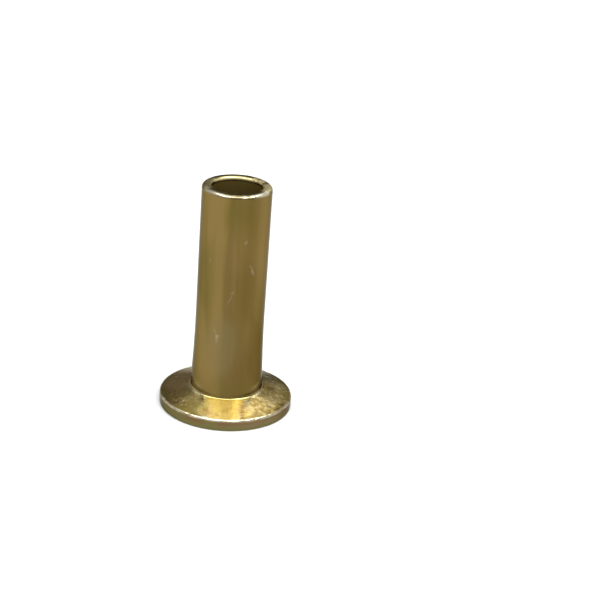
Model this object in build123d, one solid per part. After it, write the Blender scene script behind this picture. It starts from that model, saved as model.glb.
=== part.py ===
from build123d import *
from math import radians, tan
import os

# Hollow rivet, cold formed from one piece of steel.
#
# A plain tube, the shank, carries a wide thin head at one end and is open from end
# to end. The head's face is flat. Its back is a shallow cone, the seat that bears
# on the work. The shank swells a little towards the head, and its root is blended
# into the seat. In the face the bore opens through a stepped mouth: a steep bevel,
# an inner lip, a short recess and the shoulder left where the web was pierced. The
# other end, the tail, is rolled over when the rivet is set: its rim is rounded
# outside and eased inside.
#
# Millimetres. +Z runs along the axis from the head to the tail. The origin is the
# centre of the head's flat face, on which the rivet stands.

# Shank
shank_diameter = 6.0
shank_wall = 0.85
overall_length = 20.3
swell = 0.2             # growth of the shank's radius at its root
swell_length = 7.0      # how far up the shank the swell reaches
root_blend = 0.15       # radius between the shank and the seat

# Head
head_diameter = 11.7
rim_height = 1.0        # from the face to the edge of the seat
seat_slope = 16.5       # degrees, between the seat and the face
face_edge_radius = 0.12
rim_edge_radius = 0.2

# Mouth of the bore in the head's face, given as steps outwards from the bore
shoulder_depth = 1.15
shoulder_width = 0.45
shoulder_slope = 30.0   # degrees, between the shoulder and the face
lip_depth = 0.55
lip_width = 0.25        # the lip is a 45 degree chamfer of this width
bevel_width = 0.3
mouth_edge_radius = 0.12
lip_edge_radius = 0.08

# Tail
tail_outer_radius = 0.34
tail_inner_radius = 0.25
tail_land = 0.08        # least flat between those two radii, on a thin wall

# Radii and heights that follow from the sizes above
shank_radius = shank_diameter / 2
bore_radius = shank_radius - shank_wall
root_radius = shank_radius + swell
head_radius = head_diameter / 2
seat_top = rim_height + (head_radius - root_radius) * tan(radians(seat_slope))
swell_top = seat_top + swell_length

recess_radius = bore_radius + shoulder_width
lip_radius = recess_radius + lip_width
mouth_radius = lip_radius + bevel_width
bore_start = shoulder_depth + shoulder_width * tan(radians(shoulder_slope))


def half_section():
    """Half of the rivet cut along its axis: X is the radius and Y is the height."""
    swell_arc = TangentArc(
        (shank_radius, swell_top),
        (root_radius, seat_top),
        tangent=(0, -1),
    )
    outline = Polyline(
        (root_radius, seat_top),
        (head_radius, rim_height),
        (head_radius, 0),
        (mouth_radius, 0),
        (lip_radius, lip_depth),
        (recess_radius, lip_depth + lip_width),
        (recess_radius, shoulder_depth),
        (bore_radius, bore_start),
        (bore_radius, overall_length),
        (shank_radius, overall_length),
        (shank_radius, swell_top),
    )
    return make_face(outline + swell_arc)


def ease(section, corner, radius):
    """The section with the corner at this (radius, height) rounded off."""
    vertex = section.vertices().sort_by_distance((*corner, 0))[0]
    return fillet(vertex, radius)


def hollow_rivet():
    """The rivet as one solid, turned from its eased half section."""
    tail_share = min(1, (shank_wall - tail_land) / (tail_outer_radius + tail_inner_radius))
    eased_corners = [
        ((root_radius, seat_top), root_blend),
        ((head_radius, rim_height), rim_edge_radius),
        ((head_radius, 0), face_edge_radius),
        ((mouth_radius, 0), mouth_edge_radius),
        ((lip_radius, lip_depth), lip_edge_radius),
        ((bore_radius, overall_length), tail_share * tail_inner_radius),
        ((shank_radius, overall_length), tail_share * tail_outer_radius),
    ]
    section = half_section()
    for corner, radius in eased_corners:
        section = ease(section, corner, radius)
    return revolve(Plane.XZ * section, Axis.Z)


os.makedirs("parts", exist_ok=True)
export_step(hollow_rivet(), "parts/hollow_rivet.step")
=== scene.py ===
from math import atan2, cos, degrees, pi, radians, sin, sqrt, tan

import bpy
from mathutils import Matrix, Vector
from mathutils.kdtree import KDTree


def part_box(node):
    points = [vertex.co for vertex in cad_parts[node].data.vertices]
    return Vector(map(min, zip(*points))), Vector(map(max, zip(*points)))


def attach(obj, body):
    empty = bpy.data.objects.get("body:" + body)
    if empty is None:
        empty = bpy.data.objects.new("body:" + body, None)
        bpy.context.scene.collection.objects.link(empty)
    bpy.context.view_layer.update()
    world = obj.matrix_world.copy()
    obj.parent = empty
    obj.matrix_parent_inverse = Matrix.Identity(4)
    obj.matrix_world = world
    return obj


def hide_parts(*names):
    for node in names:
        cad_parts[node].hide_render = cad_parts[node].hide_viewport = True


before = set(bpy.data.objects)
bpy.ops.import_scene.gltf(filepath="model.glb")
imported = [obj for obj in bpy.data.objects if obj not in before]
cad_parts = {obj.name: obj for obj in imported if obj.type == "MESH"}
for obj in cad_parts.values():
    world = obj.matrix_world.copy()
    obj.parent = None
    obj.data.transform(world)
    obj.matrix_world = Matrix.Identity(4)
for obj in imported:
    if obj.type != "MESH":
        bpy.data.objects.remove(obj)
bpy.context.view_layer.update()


# ---------------------------------------------------------------- camera
# A long lens looks down on the rivet from in front, close enough for the far side
# of the tail to show. The camera is rolled a little, so the rivet seems to lean.

lens_mm = 83.7
camera_distance = 0.11203   # on the level, from the rivet's axis
camera_height = 0.05559
pan, pitch, roll = radians(-3.053), radians(22.061), radians(4.437)

camera_data = bpy.data.cameras.new("camera")
camera_data.lens = lens_mm
camera_data.sensor_width = 36
camera_data.clip_start = 0.002
camera = bpy.data.objects.new("camera", camera_data)
bpy.context.collection.objects.link(camera)
camera.matrix_world = (
    Matrix.Translation((0, -camera_distance, camera_height))
    @ Matrix.Rotation(pan, 4, "Z")
    @ Matrix.Rotation(radians(90) - pitch, 4, "X")
    @ Matrix.Rotation(roll, 4, "Z")
)
bpy.context.scene.camera = camera
bpy.context.scene.view_settings.view_transform = "Standard"


# ---------------------------------------------------------------- table
# The rivet stands on a plain white table, painted matt, that runs far past the view.
# Its paint is the first finish, so what writes finishes is here: sockets are wrapped,
# and every finish below reads as plain arithmetic.

class Value:
    """A number that varies over a surface: arithmetic on it adds Math nodes."""

    def __init__(self, finish, socket):
        self.finish = finish
        self.socket = socket

    def math(self, operation, *others, clamp=False):
        settings = {"operation": operation, "use_clamp": clamp}
        return self.finish.node("ShaderNodeMath", settings, [self, *others]).out()

    def __add__(self, other):
        return self.math("ADD", other)

    def __mul__(self, other):
        return self.math("MULTIPLY", other)

    def __sub__(self, other):
        return self.math("SUBTRACT", other)

    def __truediv__(self, other):
        return self.math("DIVIDE", other)

    def __rsub__(self, other):
        return self * -1 + other

    def __rtruediv__(self, other):
        return self.math("POWER", -1) * other

    __radd__ = __add__
    __rmul__ = __mul__

    def clamped(self):
        return self.math("ADD", 0, clamp=True)

    def between(self, low, high):
        """0 below low, 1 above high, smooth in between."""
        settings = {"interpolation_type": "SMOOTHSTEP"}
        return self.finish.node("ShaderNodeMapRange", settings, [self, low, high, 0, 1]).out()


class Node:
    """A node and the finish it is in."""

    def __init__(self, finish, node):
        self.finish = finish
        self.node = node

    def out(self, name=0):
        return Value(self.finish, self.node.outputs[name])


class Finish:
    """One material, or the world, and the nodes that make it."""

    def __init__(self, owner):
        owner.use_nodes = True
        self.nodes = owner.node_tree.nodes
        self.links = owner.node_tree.links
        self.nodes.clear()

    def node(self, kind, settings, sockets):
        """Adds a node. Sockets are a list in the node's order, or go by name or number."""
        node = self.nodes.new(kind)
        for name, setting in settings.items():
            if name == "stops":
                self.set_stops(node.color_ramp.elements, setting)
            else:
                setattr(node, name, setting)
        for key, value in sockets.items() if isinstance(sockets, dict) else enumerate(sockets):
            self.feed(node.inputs[key], value)
        return Node(self, node)

    def set_stops(self, elements, stops):
        while len(elements) < len(stops):
            elements.new(0.5)
        for element, (position, colour) in zip(elements, stops):
            element.position = position
            element.color = (*colour, 1)

    def feed(self, socket, value):
        if isinstance(value, Value):
            self.links.new(value.socket, socket)
        elif socket.type == "RGBA":
            socket.default_value = (*value, 1)
        else:
            socket.default_value = value

    def mix(self, share, low, high):
        """A colour that goes from low to high as share goes from 0 to 1."""
        return self.node("ShaderNodeMix", {"data_type": "RGBA"}, {0: share, 6: low, 7: high}).out(2)

    def ramp(self, value, stops):
        """A colour that runs through (position, colour) stops."""
        return self.node("ShaderNodeValToRGB", {"stops": stops}, [value]).out("Color")


table_white = (0.62, 0.62, 0.62)

bpy.ops.object.select_all(action="DESELECT")
bpy.ops.mesh.primitive_plane_add(size=3)
table = bpy.context.object
table.name = "table"
paint = bpy.data.materials.new("white_table")
finish = Finish(paint)
shader = finish.node("ShaderNodeBsdfDiffuse", {}, [table_white])
finish.node("ShaderNodeOutputMaterial", {}, [shader.out()])
table.data.materials.append(paint)


# ---------------------------------------------------------------- room and lamps
# A room with a pale band at the horizon, white walls in front and at both sides, a grey
# wall behind and a window in it to the right. Flat soft panels hang under its ceiling:
# the bright ones make a U that is open to the back.

horizon_level = 1.0
wall_level = 0.25
white_wall_level = 0.85
window_level = 0.35
window_direction = (0.42, 0.78, 0.46)

world = bpy.data.worlds.new("room")
bpy.context.scene.world = world
finish = Finish(world)
direction = finish.node("ShaderNodeTexCoord", {}, []).out("Generated")
split = finish.node("ShaderNodeSeparateXYZ", {}, [direction])
not_behind = (split.out("Y") * -1).between(-0.70, -0.45)
above_horizon = split.out("Z").between(sin(radians(4)), sin(radians(13)))
walls = wall_level + not_behind * (white_wall_level - wall_level)
level = walls + not_behind * (1 - above_horizon) * (horizon_level - white_wall_level)
towards_window = Vector(window_direction).normalized()
window = finish.node(
    "ShaderNodeVectorMath", {"operation": "DOT_PRODUCT"}, [direction, towards_window]
).out("Value")
level = level + window.between(cos(radians(28)), cos(radians(10))) * window_level
background = finish.node("ShaderNodeBackground", {}, [(1, 1, 1), level])
finish.node("ShaderNodeOutputWorld", {}, [background.out()])

# Each panel's radiance, then its left, right, front and back edge, in metres from the
# rivet's axis.
ceiling = 0.6
panels = {
    "front_panel": (7.2, -0.42, 0.20, -0.35, -0.14),
    "right_front_panel": (13.0, 0.20, 0.42, -0.35, -0.02),
    "left_panel": (6.2, -0.42, -0.25, -0.14, 0.18),
    "right_panel": (6.2, 0.25, 0.42, -0.02, 0.21),
    "middle_panel": (1.3, -0.20, 0.20, -0.14, 0.15),
    "back_panel": (1.5, -0.07, 0.30, 0.15, 0.63),
    "left_back_panel": (0.42, -0.30, -0.07, 0.20, 0.72),
}
for name, (radiance, left, right, front, back) in panels.items():
    lamp = bpy.data.lights.new(name, "AREA")
    lamp.shape = "RECTANGLE"
    lamp.size = right - left
    lamp.size_y = back - front
    lamp.energy = radiance * pi * lamp.size * lamp.size_y
    panel = bpy.data.objects.new(name, lamp)
    panel.location = ((left + right) / 2, (front + back) / 2, ceiling)
    bpy.context.collection.objects.link(panel)


# ---------------------------------------------------------------- rivet
# One piece of soft steel, zinc plated and dipped yellow. A round head is struck cold on
# the end of a blank, the blank is pierced from the head's face, and its wall is drawn
# up into the shank. It stands loose on its head.

MM = 0.001
edges_around = 288

highest_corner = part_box("hollow_rivet")[1]
overall_length = round(highest_corner.z / MM, 3)
head_radius = round(highest_corner.x / MM, 3)
rim_height = 1.0
seat_slope = radians(16.5)
face_edge_radius = 0.12
rim_edge_radius = 0.2

shank_radius = 3.0
bore_radius = 2.15
swell, swell_length = 0.2, 7.0
root_radius = shank_radius + swell
root_blend = 0.15
seat_top = rim_height + (head_radius - root_radius) * tan(seat_slope)
swell_arc = (swell_length ** 2 + swell ** 2) / (2 * swell)

tail_lean = radians(1.5)    # the blank was cropped a little out of square
tail_height = overall_length - shank_radius * sin(tail_lean)
tail_outer_radius = 0.34
tail_inner_radius = 0.25

recess_radius, shoulder_depth = 2.6, 1.15
shoulder_slope = radians(30)
lip_radius, lip_depth = 2.85, 0.55
mouth_radius, mouth_edge_radius = 3.15, 0.12
bore_start = shoulder_depth + (recess_radius - bore_radius) * tan(shoulder_slope)

# Rings that the heading tool left in the face, as radius and depth
face_rings = [(3.62, 0.012), (4.12, 0.020), (4.60, 0.008), (5.00, 0.010), (5.32, 0.014)]
ring_width = 0.2


class TurnedWall:
    """A wall drawn out ring by ring, given as radius and height in millimetres."""

    def __init__(self, name, radius, height):
        bpy.ops.object.select_all(action="DESELECT")
        bpy.ops.mesh.primitive_circle_add(
            vertices=edges_around, radius=radius * MM, location=(0, 0, height * MM)
        )
        bpy.ops.object.transform_apply(location=True)
        self.piece = bpy.context.object
        self.piece.name = name
        self.radius = radius
        self.height = height
        bpy.ops.object.mode_set(mode="EDIT")

    def draw_to(self, radius, height, rings=1):
        """Extrudes the open edge in equal steps to a new radius and height."""
        radius_step = (radius - self.radius) / rings
        rise = (height - self.height) / rings
        for _ in range(rings):
            bpy.ops.mesh.extrude_edges_move(TRANSFORM_OT_translate={"value": (0, 0, rise * MM)})
            growth = (self.radius + radius_step) / self.radius
            bpy.ops.transform.resize(value=(growth, growth, 1))
            self.radius += radius_step
        self.radius = radius
        self.height = height


wall = TurnedWall("rivet", mouth_radius, 0)
for ring_radius, ring_depth in face_rings:
    wall.draw_to(ring_radius - ring_width / 2, 0)
    wall.draw_to(ring_radius - ring_width / 6, ring_depth)
    wall.draw_to(ring_radius + ring_width / 6, ring_depth)
    wall.draw_to(ring_radius + ring_width / 2, 0)
wall.draw_to(head_radius - 0.25, 0)
wall.draw_to(head_radius, 0)
wall.draw_to(head_radius, 0.2)
wall.draw_to(head_radius, rim_height - 0.2, rings=5)
wall.draw_to(head_radius, rim_height)
wall.draw_to(head_radius - 0.25, rim_height + 0.25 * tan(seat_slope))
wall.draw_to(root_radius + 0.2, seat_top - 0.2 * tan(seat_slope), rings=24)
wall.draw_to(root_radius, seat_top)
swell_rings = 34
for ring in range(1, swell_rings + 1):
    rise = swell_length * ring / swell_rings
    below_top = swell_length - rise
    growth = swell_arc - sqrt(swell_arc ** 2 - below_top ** 2)
    wall.draw_to(shank_radius + growth, seat_top + rise)
wall.draw_to(shank_radius, tail_height - 0.42, rings=54)
wall.draw_to(shank_radius, tail_height)
wall.draw_to(bore_radius, tail_height, rings=2)
wall.draw_to(bore_radius, tail_height - 0.42)
wall.draw_to(bore_radius, bore_start, rings=50)
wall.draw_to(recess_radius, shoulder_depth, rings=6)
wall.draw_to(recess_radius, lip_depth + lip_radius - recess_radius, rings=4)
wall.draw_to(lip_radius, lip_depth, rings=2)
wall.draw_to(mouth_radius, 0)
bpy.ops.mesh.select_all(action="SELECT")
bpy.ops.mesh.remove_doubles(threshold=0.001 * MM)
bpy.ops.mesh.normals_make_consistent(inside=False)
bpy.ops.object.mode_set(mode="OBJECT")
rivet = wall.piece


def select_only(indices):
    """Selects the rivet's points with these indices, in edit mode, and no others."""
    bpy.ops.object.mode_set(mode="EDIT")
    bpy.ops.mesh.select_mode(type="VERT")
    bpy.ops.mesh.select_all(action="DESELECT")
    bpy.ops.object.mode_set(mode="OBJECT")
    for index in indices:
        rivet.data.vertices[index].select = True
    bpy.ops.object.mode_set(mode="EDIT")


def select_points(wanted):
    """Selects the points for which wanted holds of their place in millimetres, and no others."""
    select_only([point.index for point in rivet.data.vertices if wanted(point.co / MM)])


def round_corner(corner, easing, turn, segments):
    """Rounds the ring at this (radius, height); turn is how far the wall bends there."""
    corner = Vector(corner)
    select_points(lambda place: (Vector((place.xy.length, place.z)) - corner).length < 0.01)
    bpy.ops.mesh.bevel(offset=easing * tan(turn / 2) * MM, segments=segments)
    bpy.ops.object.mode_set(mode="OBJECT")


square = radians(90)
bevel_turn = atan2(lip_depth, mouth_radius - lip_radius)
round_corner((head_radius, 0), face_edge_radius, square, 5)
round_corner((head_radius, rim_height), rim_edge_radius, square - seat_slope, 7)
round_corner((root_radius, seat_top), root_blend, square - seat_slope, 8)
round_corner((shank_radius, tail_height), tail_outer_radius, square, 9)
round_corner((bore_radius, tail_height), tail_inner_radius, square, 7)
round_corner((mouth_radius, 0), mouth_edge_radius, bevel_turn, 4)

# The tail is bent over to its lean in small turns, about a line across the shank.
lean_steps = 8
lean_length = 2.0
lean_line = radians(-66)    # from the right towards the back
for step in range(lean_steps):
    pivot = tail_height - lean_length * (1 - step / lean_steps)
    select_points(lambda place: place.z > pivot)
    bpy.ops.transform.rotate(
        value=-tail_lean / lean_steps, orient_axis="X", center_override=(0, 0, pivot * MM),
        orient_matrix=Matrix.Rotation(lean_line, 3, "Z"), orient_matrix_type="LOCAL",
    )
bpy.ops.object.mode_set(mode="OBJECT")

# Knocks from the drum and the bag. Each is a shallow dent, given by its bearing from the
# front towards the right in degrees, its radius on the head or height on the shank, and
# its size and depth.
seat_knocks = [
    (-56, 5.10, 0.40, 0.022), (-49, 4.80, 0.34, 0.016), (-84, 4.35, 0.30, 0.020),
    (-112, 5.00, 0.34, 0.025), (31, 5.26, 0.30, 0.020), (24, 5.36, 0.24, 0.018),
    (38, 4.55, 0.34, 0.016), (52, 5.05, 0.36, 0.020), (70, 4.86, 0.34, 0.020),
    (82, 4.20, 0.30, 0.018), (93, 4.80, 0.24, 0.020), (128, 4.60, 0.34, 0.028),
    (160, 5.10, 0.30, 0.028), (-150, 4.40, 0.36, 0.030),
]
shank_knocks = [
    (34, 13.5, 0.20, 0.020), (-21, 7.5, 0.26, 0.018),
    (150, 9.0, 0.30, 0.025), (-130, 12.0, 0.24, 0.020),
]
rim_knocks = [
    (-66, 0.22, 0.050), (-33, 0.24, 0.060), (-24, 0.16, 0.035), (-6, 0.18, 0.045),
    (9, 0.14, 0.035), (27, 0.20, 0.055), (41, 0.16, 0.040), (58, 0.22, 0.045),
    (96, 0.24, 0.055), (140, 0.24, 0.050), (-100, 0.20, 0.040), (-155, 0.24, 0.050),
]
face_knocks = [
    (20, 4.4, 0.40, 0.035), (75, 3.8, 0.30, 0.030), (150, 5.1, 0.36, 0.040),
    (-140, 4.8, 0.34, 0.030), (-70, 4.0, 0.30, 0.025), (-25, 5.2, 0.30, 0.030),
]


def around(bearing, radius, height):
    """The point at this bearing, radius and height, in millimetres."""
    return Vector((radius * sin(radians(bearing)), -radius * cos(radians(bearing)), height))


surface = KDTree(len(rivet.data.vertices))
for point in rivet.data.vertices:
    surface.insert(point.co, point.index)
surface.balance()
knocks = []    # where each one is and its size, for the finish


def dent(at, inwards, size, depth):
    """Pushes the rivet's nearest point inwards, and its neighbours less and less out to size."""
    nearest = surface.find(at * MM)[1]
    select_only([nearest])
    bpy.ops.transform.translate(
        value=inwards.normalized() * depth * MM, use_proportional_edit=True,
        proportional_edit_falloff="SMOOTH", proportional_size=size * MM,
    )
    knocks.append((at, size))


for bearing, radius, size, depth in seat_knocks:
    height = rim_height + (head_radius - radius) * tan(seat_slope)
    dent(around(bearing, radius, height), Vector((0, 0, -1)), size, depth)
for bearing, height, size, depth in shank_knocks:
    dent(around(bearing, shank_radius, height), around(bearing, -1, 0), size, depth)
for bearing, size, depth in rim_knocks:
    dent(around(bearing, head_radius - 0.05, rim_height - 0.02), around(bearing, -1, -1), size, depth)
for bearing, radius, size, depth in face_knocks:
    dent(around(bearing, radius, 0), Vector((0, 0, 1)), size, depth)

# The pierced shoulder is torn, the cropped tail is rough on its right side and a little on
# its left, and the seat is never quite even. First and last bearing, first and last
# radius, first and last height, then how rough.
rough_places = [
    (-180, 180, 2.22, 2.62, 0.90, 1.50, 0.045),
    (68, 152, 2.20, 2.86, tail_height - 0.16, overall_length, 0.030),
    (-118, -60, 2.20, 2.86, tail_height - 0.16, overall_length, 0.020),
    (-180, 180, 3.50, 5.70, rim_height, seat_top, 0.004),
]
for seed, (right, left, inner, outer, low, high, reach) in enumerate(rough_places):
    def is_rough(place):
        bearing = degrees(atan2(place.x, -place.y))
        return right < bearing < left and inner < place.xy.length < outer and low < place.z < high

    select_points(is_rough)
    bpy.ops.transform.vertex_random(offset=reach * MM, seed=seed)
    bpy.ops.mesh.vertices_smooth(factor=0.4, repeat=1)
bpy.ops.object.mode_set(mode="OBJECT")

bpy.ops.object.select_all(action="DESELECT")
rivet.select_set(True)
bpy.context.view_layer.objects.active = rivet
bpy.ops.object.shade_smooth()

# The zinc is passivated in a yellow bath. The film is a few ten-thousandths of a
# millimetre thick, so its colour drifts between olive, brown and rose.
steel = bpy.data.materials.new("passivated_zinc")
finish = Finish(steel)
place = finish.node("ShaderNodeTexCoord", {}, []).out("Object")
place = finish.node(
    "ShaderNodeVectorMath", {"operation": "SCALE"}, {"Vector": place, "Scale": 1 / MM}
).out()
split = finish.node("ShaderNodeSeparateXYZ", {}, [place])
x, y, height = split.out("X"), split.out("Y"), split.out("Z")
radius = (x * x + y * y).math("SQRT")
bearing = x.math("ARCTAN2", y * -1) * (180 / pi)    # from the front towards the right


def cloud(vector, scale, detail=2, roughness=0.5, distortion=0):
    """Soft random patches about 0.5 on average; scale is how many lie in a millimetre."""
    sockets = {
        "Vector": vector, "Scale": scale, "Detail": detail,
        "Roughness": roughness, "Distortion": distortion,
    }
    return finish.node("ShaderNodeTexNoise", {}, sockets).out("Fac")


def stretched(along):
    """The place on the rivet with its height scaled, for marks drawn out along the shank."""
    settings = {"operation": "MULTIPLY"}
    return finish.node("ShaderNodeVectorMath", settings, [place, (1, 1, along)]).out()


def length_of(first, second):
    return (first * first + second * second).math("SQRT")


def ring_band(ring_radius, ring_height, inner, outer):
    """1 on a ring of this radius and height, fading to 0 between inner and outer from it."""
    return 1 - length_of(radius - ring_radius, height - ring_height).between(inner, outer)


drift = cloud(stretched(0.35), 0.45, 3, distortion=0.6)
drawn = cloud(stretched(0.03), 1.6, 3)
scatter = cloud(place, 5.0, 4, 0.65)


def patch(level, towards, half_width, at_level, half_level, edge=1.0, wander=1.6):
    """1 in an oval round a bearing and a level, a radius or a height. Its outline wanders."""
    across = (bearing - towards).math("WRAP", 180, -180) / half_width
    up = (level - at_level) / half_level
    reach = length_of(across, up) + (drift - 0.5) * wander
    return 1 - reach.between(1 - edge / 2, 1 + edge / 2)


def add_patches(level, colour, patches):
    """The colour with patches mixed in: bearing, half width, level, half of its reach, how
    soft its edge is, how far its outline wanders, its share and its own colour."""
    for *oval, share, tint in patches:
        colour = finish.mix(patch(level, *oval) * share, colour, tint)
    return colour


# The shank's film runs in long soft bands, given once round from the back. The bands are
# partly painted reflection: the shank is lighter on its left, with a darker band from the front round to
# the right.
turn = (bearing + (drift - 0.5) * 18 + (drawn - 0.5) * 14 + 180) / 360
shank_colour = finish.ramp(turn, [
    (0.00, (0.167, 0.114, 0.034)),
    (0.10, (0.191, 0.125, 0.038)),
    (0.20, (0.158, 0.112, 0.032)),
    (0.30, (0.177, 0.127, 0.040)),
    (0.36, (0.195, 0.134, 0.041)),
    (0.425, (0.200, 0.138, 0.044)),
    (0.455, (0.184, 0.127, 0.039)),
    (0.475, (0.140, 0.096, 0.030)),
    (0.53, (0.126, 0.084, 0.025)),
    (0.57, (0.121, 0.081, 0.022)),
    (0.61, (0.147, 0.101, 0.028)),
    (0.65, (0.191, 0.131, 0.042)),
    (0.71, (0.175, 0.127, 0.041)),
    (0.85, (0.181, 0.118, 0.036)),
])
olive = (0.116, 0.088, 0.020)
rose = (0.192, 0.122, 0.044)
brown = (0.110, 0.070, 0.016)
grey = (0.165, 0.128, 0.058)
olive_cloud = cloud(stretched(0.12), 0.5, 2, distortion=0.4).between(0.50, 0.66)
rose_cloud = cloud(stretched(0.09), 0.42, 2, distortion=0.8).between(0.52, 0.68)
shank_colour = finish.mix(olive_cloud * 0.5, shank_colour, olive)
shank_colour = finish.mix(rose_cloud * 0.4, shank_colour, rose)
shank_colour = add_patches(height, shank_colour, [
    (8, 20, 18.4, 1.9, 1.0, 1.6, 0.7, olive),
    (12, 22, 15.4, 2.4, 1.0, 1.6, 0.25, rose),
    (-48, 22, 12.5, 3.2, 1.0, 1.6, 0.5, olive),
    (-10, 30, 6.6, 2.6, 1.0, 1.6, 0.45, grey),
    (26, 16, 11.6, 2.8, 1.0, 1.6, 0.4, brown),
    (0, 90, 2.2, 1.4, 1.0, 1.6, 0.3, olive),
    # The last patch is a painted reflection: the dark image of a neighbouring rivet, low on the right.
    (58, 30, 4.0, 4.0, 1.0, 2.0, 0.85, brown),
])
off_front = bearing.math("ABSOLUTE")
# Painted reflection: the foot of the shank is paler at its sides, where it mirrors the seat.
foot_reflection = (1 - height.between(seat_top + 0.3, seat_top + 1.1)) * off_front.between(36, 60)
shank_colour = finish.mix(foot_reflection * 0.8, shank_colour, (0.36, 0.28, 0.11))

# The seat was struck by the die and lies open to knocks, so its film is blotched, and it
# is rubbed pale towards the back on both sides, where the die bore hardest. The pale zone over
# its front and the pale speckles round the root's front are painted highlight.
blotch = cloud(place, 0.7, 4, 0.6, 0.6)
mottle = cloud(place, 2.4, 5, 0.62)
film = blotch * 0.5 + mottle * 0.5
dull_film = finish.ramp(film, [
    (0.39, (0.150, 0.095, 0.028)),
    (0.45, (0.260, 0.175, 0.055)),
    (0.50, (0.360, 0.260, 0.088)),
    (0.55, (0.460, 0.350, 0.140)),
    (0.61, (0.600, 0.500, 0.270)),
])
near_rim = radius.between(4.7, 5.4) * (0.65 - patch(radius, 62, 20, 5, 1) * 0.6)
dull_film = finish.mix(near_rim, dull_film, (0.22, 0.16, 0.045))
pale_film_and_highlight = finish.ramp(film, [
    (0.36, (0.560, 0.510, 0.260)),
    (0.42, (0.760, 0.720, 0.450)),
    (0.48, (0.860, 0.840, 0.580)),
    (0.60, (0.900, 0.880, 0.660)),
])
outwards = finish.node("ShaderNodeCombineXYZ", {}, [bearing * 0.45, radius * 0.5]).out()
strokes = cloud(outwards, 1, 4, 0.6).between(0.46, 0.62)
pale_film_and_highlight = finish.mix(strokes * 0.35, pale_film_and_highlight, (0.66, 0.58, 0.32))

# Painted highlight: the pale zone at the front of the seat and the speckles round the root's front.
wander = (drift - 0.5) * 0.8 + (mottle - 0.5) * 0.9
right_edge = (x + wander + (radius - 4.4) * 0.3).between(1.6, 2.0)
left_edge = (x + wander).between(-2.1, -1.75)
front_highlight = (1 - right_edge) * left_edge * (y * -1).between(1, 2)
root_highlight = (1 - radius.between(root_radius + 0.15, root_radius + 0.35)) * patch(radius, 0, 74, 3.4, 4)
rubbed_and_lit_seat = (
    front_highlight
    + patch(radius, -150, 26, 4.4, 3) * 0.5
    + patch(radius, 150, 22, 4.4, 3) * 0.4
    + root_highlight * scatter.between(0.38, 0.5)
).clamped()
seat_colour = finish.mix(rubbed_and_lit_seat, dull_film, pale_film_and_highlight)
# The patches from bearing -38 to 25 are painted highlight, shaping the pale front zone; the others are
# blotches in the film.
seat_colour = add_patches(radius, seat_colour, [
    (64, 18, 4.4, 0.8, 1.0, 1.6, 0.35, (0.66, 0.53, 0.25)),
    (-112, 42, 4.2, 2.0, 1.0, 1.6, 0.7, (0.54, 0.37, 0.17)),
    (134, 28, 4.2, 2.0, 1.0, 1.6, 0.9, (0.21, 0.155, 0.035)),
    (-58, 14, 4.0, 0.6, 1.0, 1.6, 0.5, (0.26, 0.22, 0.075)),
    (1, 4, 4.6, 0.4, 0.8, 3.0, 0.3, (0.44, 0.36, 0.13)),
    (-17, 5, 5.1, 0.3, 1.0, 1.6, 0.4, (0.80, 0.58, 0.40)),
    (25, 7, 4.4, 0.8, 0.8, 1.6, 0.75, (0.60, 0.46, 0.19)),
    (21, 5, 5.1, 0.5, 0.8, 1.6, 0.8, (0.60, 0.43, 0.13)),
    (-25, 5, 4.4, 0.8, 0.8, 1.6, 0.7, (0.66, 0.58, 0.20)),
    (-22, 5, 5.1, 0.5, 0.8, 1.6, 0.8, (0.62, 0.46, 0.14)),
    (-38, 9, 4.9, 1.0, 1.0, 1.6, 0.8, (0.28, 0.215, 0.056)),
    (96, 20, 4.9, 0.9, 1.0, 1.6, 0.3, (0.290, 0.240, 0.066)),
    (104, 16, 4.4, 0.9, 1.0, 1.6, 0.45, (0.54, 0.45, 0.22)),
])
crumbs = cloud(place, 3.2, 4, 0.6, 0.5).between(0.54, 0.62) * (
    patch(radius, 84, 38, 4.6, 1.0)
    + patch(radius, -48, 10, 4.8, 0.5)
    + patch(radius, 36, 9, 5.3, 0.3)
).clamped()
seat_colour = finish.mix(crumbs * 0.7, seat_colour, (0.59, 0.46, 0.20))
# Painted highlight: a bright line round the front of the root.
root_line_highlight = ring_band(root_radius + 0.08, seat_top, 0.12, 0.22) * (1 - off_front.between(36, 62))
seat_colour = finish.mix(root_line_highlight * 0.85, seat_colour, (0.76, 0.66, 0.26))
above_rim = height.between(rim_height - 0.25, rim_height - 0.02)
on_seat = radius.between(root_radius + 0.02, root_radius + 0.10) * above_rim
colour = finish.mix(on_seat, shank_colour, seat_colour)

# The side of the head is browner, and olive towards the face.
browner = height.between(0.25, 0.75) * drift.between(0.35, 0.6)
rim_colour = finish.mix(browner, (0.142, 0.126, 0.047), (0.150, 0.088, 0.038))
rim_colour = finish.mix(patch(height, 30, 26, 0.6, 0.5) * 0.4, rim_colour, (0.18, 0.128, 0.070))
below_seat = 1 - height.between(rim_height - 0.12, rim_height - 0.02)
on_rim = radius.between(head_radius - 0.14, head_radius - 0.06) * below_seat
colour = finish.mix(on_rim, colour, rim_colour)

# The face is olive on one side and rose on the other, with faint arcs from the tool.
arcs = finish.node(
    "ShaderNodeTexNoise", {"noise_dimensions": "1D"}, {"W": radius * 3, "Detail": 3}
).out("Fac")
rosy = ((x * 0.16 + y * 0.08 + 0.5) + (drift - 0.5) * 1.2 + (arcs - 0.5) * 0.5).clamped()
face_colour = finish.mix(rosy, (0.30, 0.28, 0.10), (0.36, 0.24, 0.13))
on_face = (1 - height.between(0.04, 0.10)) * radius.between(mouth_radius - 0.1, mouth_radius)
colour = finish.mix(on_face, colour, face_colour)

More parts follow.
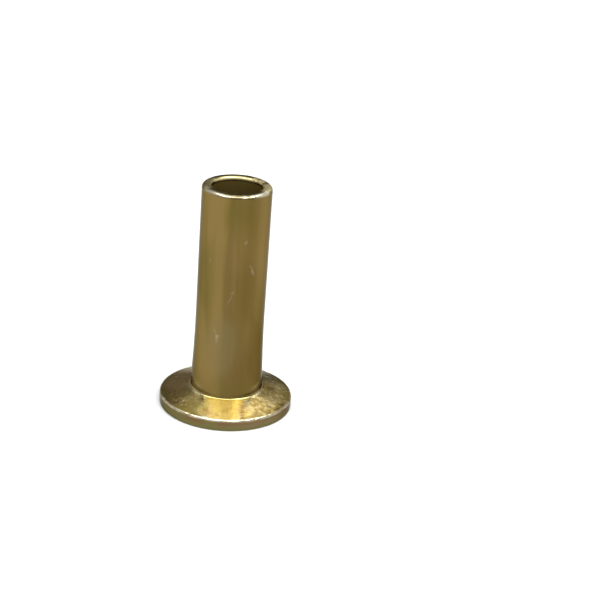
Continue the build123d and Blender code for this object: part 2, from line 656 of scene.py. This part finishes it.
# Edges rubbed against other rivets in the drum have lost most of their film, but for a
# short stretch at the front of the tail. The pale edges are partly this wear and partly
# painted highlight: on the tail the pale edge runs only round its front, a painted highlight.
tail_highlight_band = ring_band(shank_radius - 0.16, tail_height - 0.08, 0.12, 0.34)
worn_and_lit_edges = (
    ring_band(head_radius - 0.06, rim_height - 0.04, 0.07, 0.17)
    + tail_highlight_band * (y * -1).between(0.2, 1.4)
    + ring_band(lip_radius, lip_depth, 0.04, 0.12)
).clamped()
bare_and_highlight = worn_and_lit_edges * cloud(place, 1.4, 4, 0.6).between(0.32, 0.56) * 0.7
bare_and_highlight = bare_and_highlight * (1 - patch(height, 4, 9, tail_height, 0.6) * 0.7)
bare_and_highlight = (bare_and_highlight + worn_and_lit_edges * patch(height, 50, 20, tail_height, 0.6) * 0.6).clamped()
colour = finish.mix(bare_and_highlight, colour, (0.58, 0.53, 0.40))

# The far side of the tail's inner rounding is painted pale, a painted highlight where the lamps catch
# it.
far_side = (y - x * 0.17 + (drift - 0.5)).between(0.9, 1.7)
tail_mouth_highlight = ring_band(bore_radius + 0.02, tail_height - 0.14, 0.09, 0.19) * far_side
colour = finish.mix(tail_mouth_highlight * 0.9, colour, (0.73, 0.66, 0.34))

# Fresh metal shows in the knocks.
ragged = finish.node("ShaderNodeTexNoise", {}, {"Vector": place, "Scale": 5, "Detail": 4})
raggedness = 0.7
ragged = finish.node(
    "ShaderNodeVectorMath", {"operation": "MULTIPLY_ADD"},
    [ragged.out("Color"), (raggedness, raggedness, raggedness), place],
).out()
fresh = 0
for at, size in knocks:
    centre = at + Vector((0.5, 0.5, 0.5)) * raggedness
    reach = finish.node(
        "ShaderNodeVectorMath", {"operation": "DISTANCE"}, [ragged, centre]
    ).out("Value")
    fresh = (1 - reach.between(size * 0.1, size * 0.9)) + fresh
fresh = fresh.clamped() * 0.12

# Scratches on the shank: bearing and height of the middle, half length, half width, and
# lean towards the right in degrees.
scratches = [
    (19, 16.1, 0.20, 0.14, 20), (34, 13.4, 0.45, 0.14, -25), (30, 13.9, 0.30, 0.08, -40),
    (-2, 11.0, 0.70, 0.06, 24), (2, 11.6, 0.20, 0.10, 60), (-20, 7.3, 0.45, 0.18, 8),
    (-24, 7.9, 0.25, 0.09, -15), (-40, 14.2, 0.40, 0.07, 3), (130, 12.5, 0.80, 0.09, 18),
    (-120, 6.5, 0.60, 0.10, -20), (170, 15.0, 0.50, 0.08, 5),
]
scratched = 0
for towards, middle, half_length, half_width, lean in scratches:
    lean = radians(lean)
    sideways = (bearing - towards) * radians(shank_radius)
    up = height - middle
    along = sideways * (sin(lean) / half_length) + up * (cos(lean) / half_length)
    across = sideways * (cos(lean) / half_width) - up * (sin(lean) / half_width)
    reach = length_of(along, across) + (scatter - 0.5) * 2.5
    scratched = (1 - reach.between(0.3, 1.1)) + scratched
scratched = scratched.clamped() * (1 - on_seat)
colour = finish.mix((fresh + scratched * 0.10).clamped(), colour, (0.62, 0.57, 0.44))

# The tail's end is dull and olive at the back, and torn on its right and its left.
tail_top = height.between(tail_height - 0.25, tail_height - 0.1)
dull_back = tail_top * (1 - tail_mouth_highlight) * y.between(-0.5, 1.5)
colour = finish.mix(dull_back * 0.5, colour, (0.26, 0.23, 0.10))
torn_right = patch(radius, 104, 47, 2.6, 1, 0.3, 0.6)
torn_left = patch(radius, -94, 34, 2.6, 1, 0.3, 0.6)
torn = tail_top * (torn_right + torn_left * 0.6)
colour = finish.mix(torn * scatter.between(0.34, 0.54) * 0.95, colour, (0.63, 0.55, 0.31))
gaps = torn * patch(radius, 128, 26, 2.5, 1, 0.4, 0.8) * mottle.between(0.50, 0.56)
colour = finish.mix(gaps * 0.9, colour, (0.12, 0.085, 0.022))

# The bath hardly reached into the bore, so its wall is dull.
below_rounding = 1 - height.between(tail_height - 0.4, tail_height - 0.25)
in_bore = (1 - radius.between(bore_radius + 0.02, bore_radius + 0.1)) * below_rounding
colour = finish.mix(in_bore, colour, (0.225, 0.165, 0.045))

polish = 0.14 + (drawn - 0.5) * 0.06
wear = crumbs * 0.12 + fresh * 0.15 + scratched * 0.1 + torn * 0.25 + bare_and_highlight * 0.1 + tail_mouth_highlight * 0.18
roughness = polish + on_seat * (0.03 + (0.5 - film) * 0.3) + wear + in_bore * 0.42
seat_grain = (mottle - 0.5) * 1.1 + (blotch - 0.5) * 0.8 + (scatter - 0.5) * 0.2
grain = on_seat * seat_grain + cloud(place, 12, 2) * 0.06 + torn * scatter
bump = finish.node(
    "ShaderNodeBump", {}, {"Strength": 0.6, "Distance": 0.02 * MM, "Height": grain}
).out()

shader = finish.node("ShaderNodeBsdfPrincipled", {}, {
    "Base Color": colour,
    "Metallic": 1,
    "Roughness": roughness,
    "Specular Tint": (0.52, 0.52, 0.50),
    "Normal": bump,
})
finish.node("ShaderNodeOutputMaterial", {}, [shader.out()])
rivet.data.materials.append(steel)

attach(rivet, "root")
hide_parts("hollow_rivet")
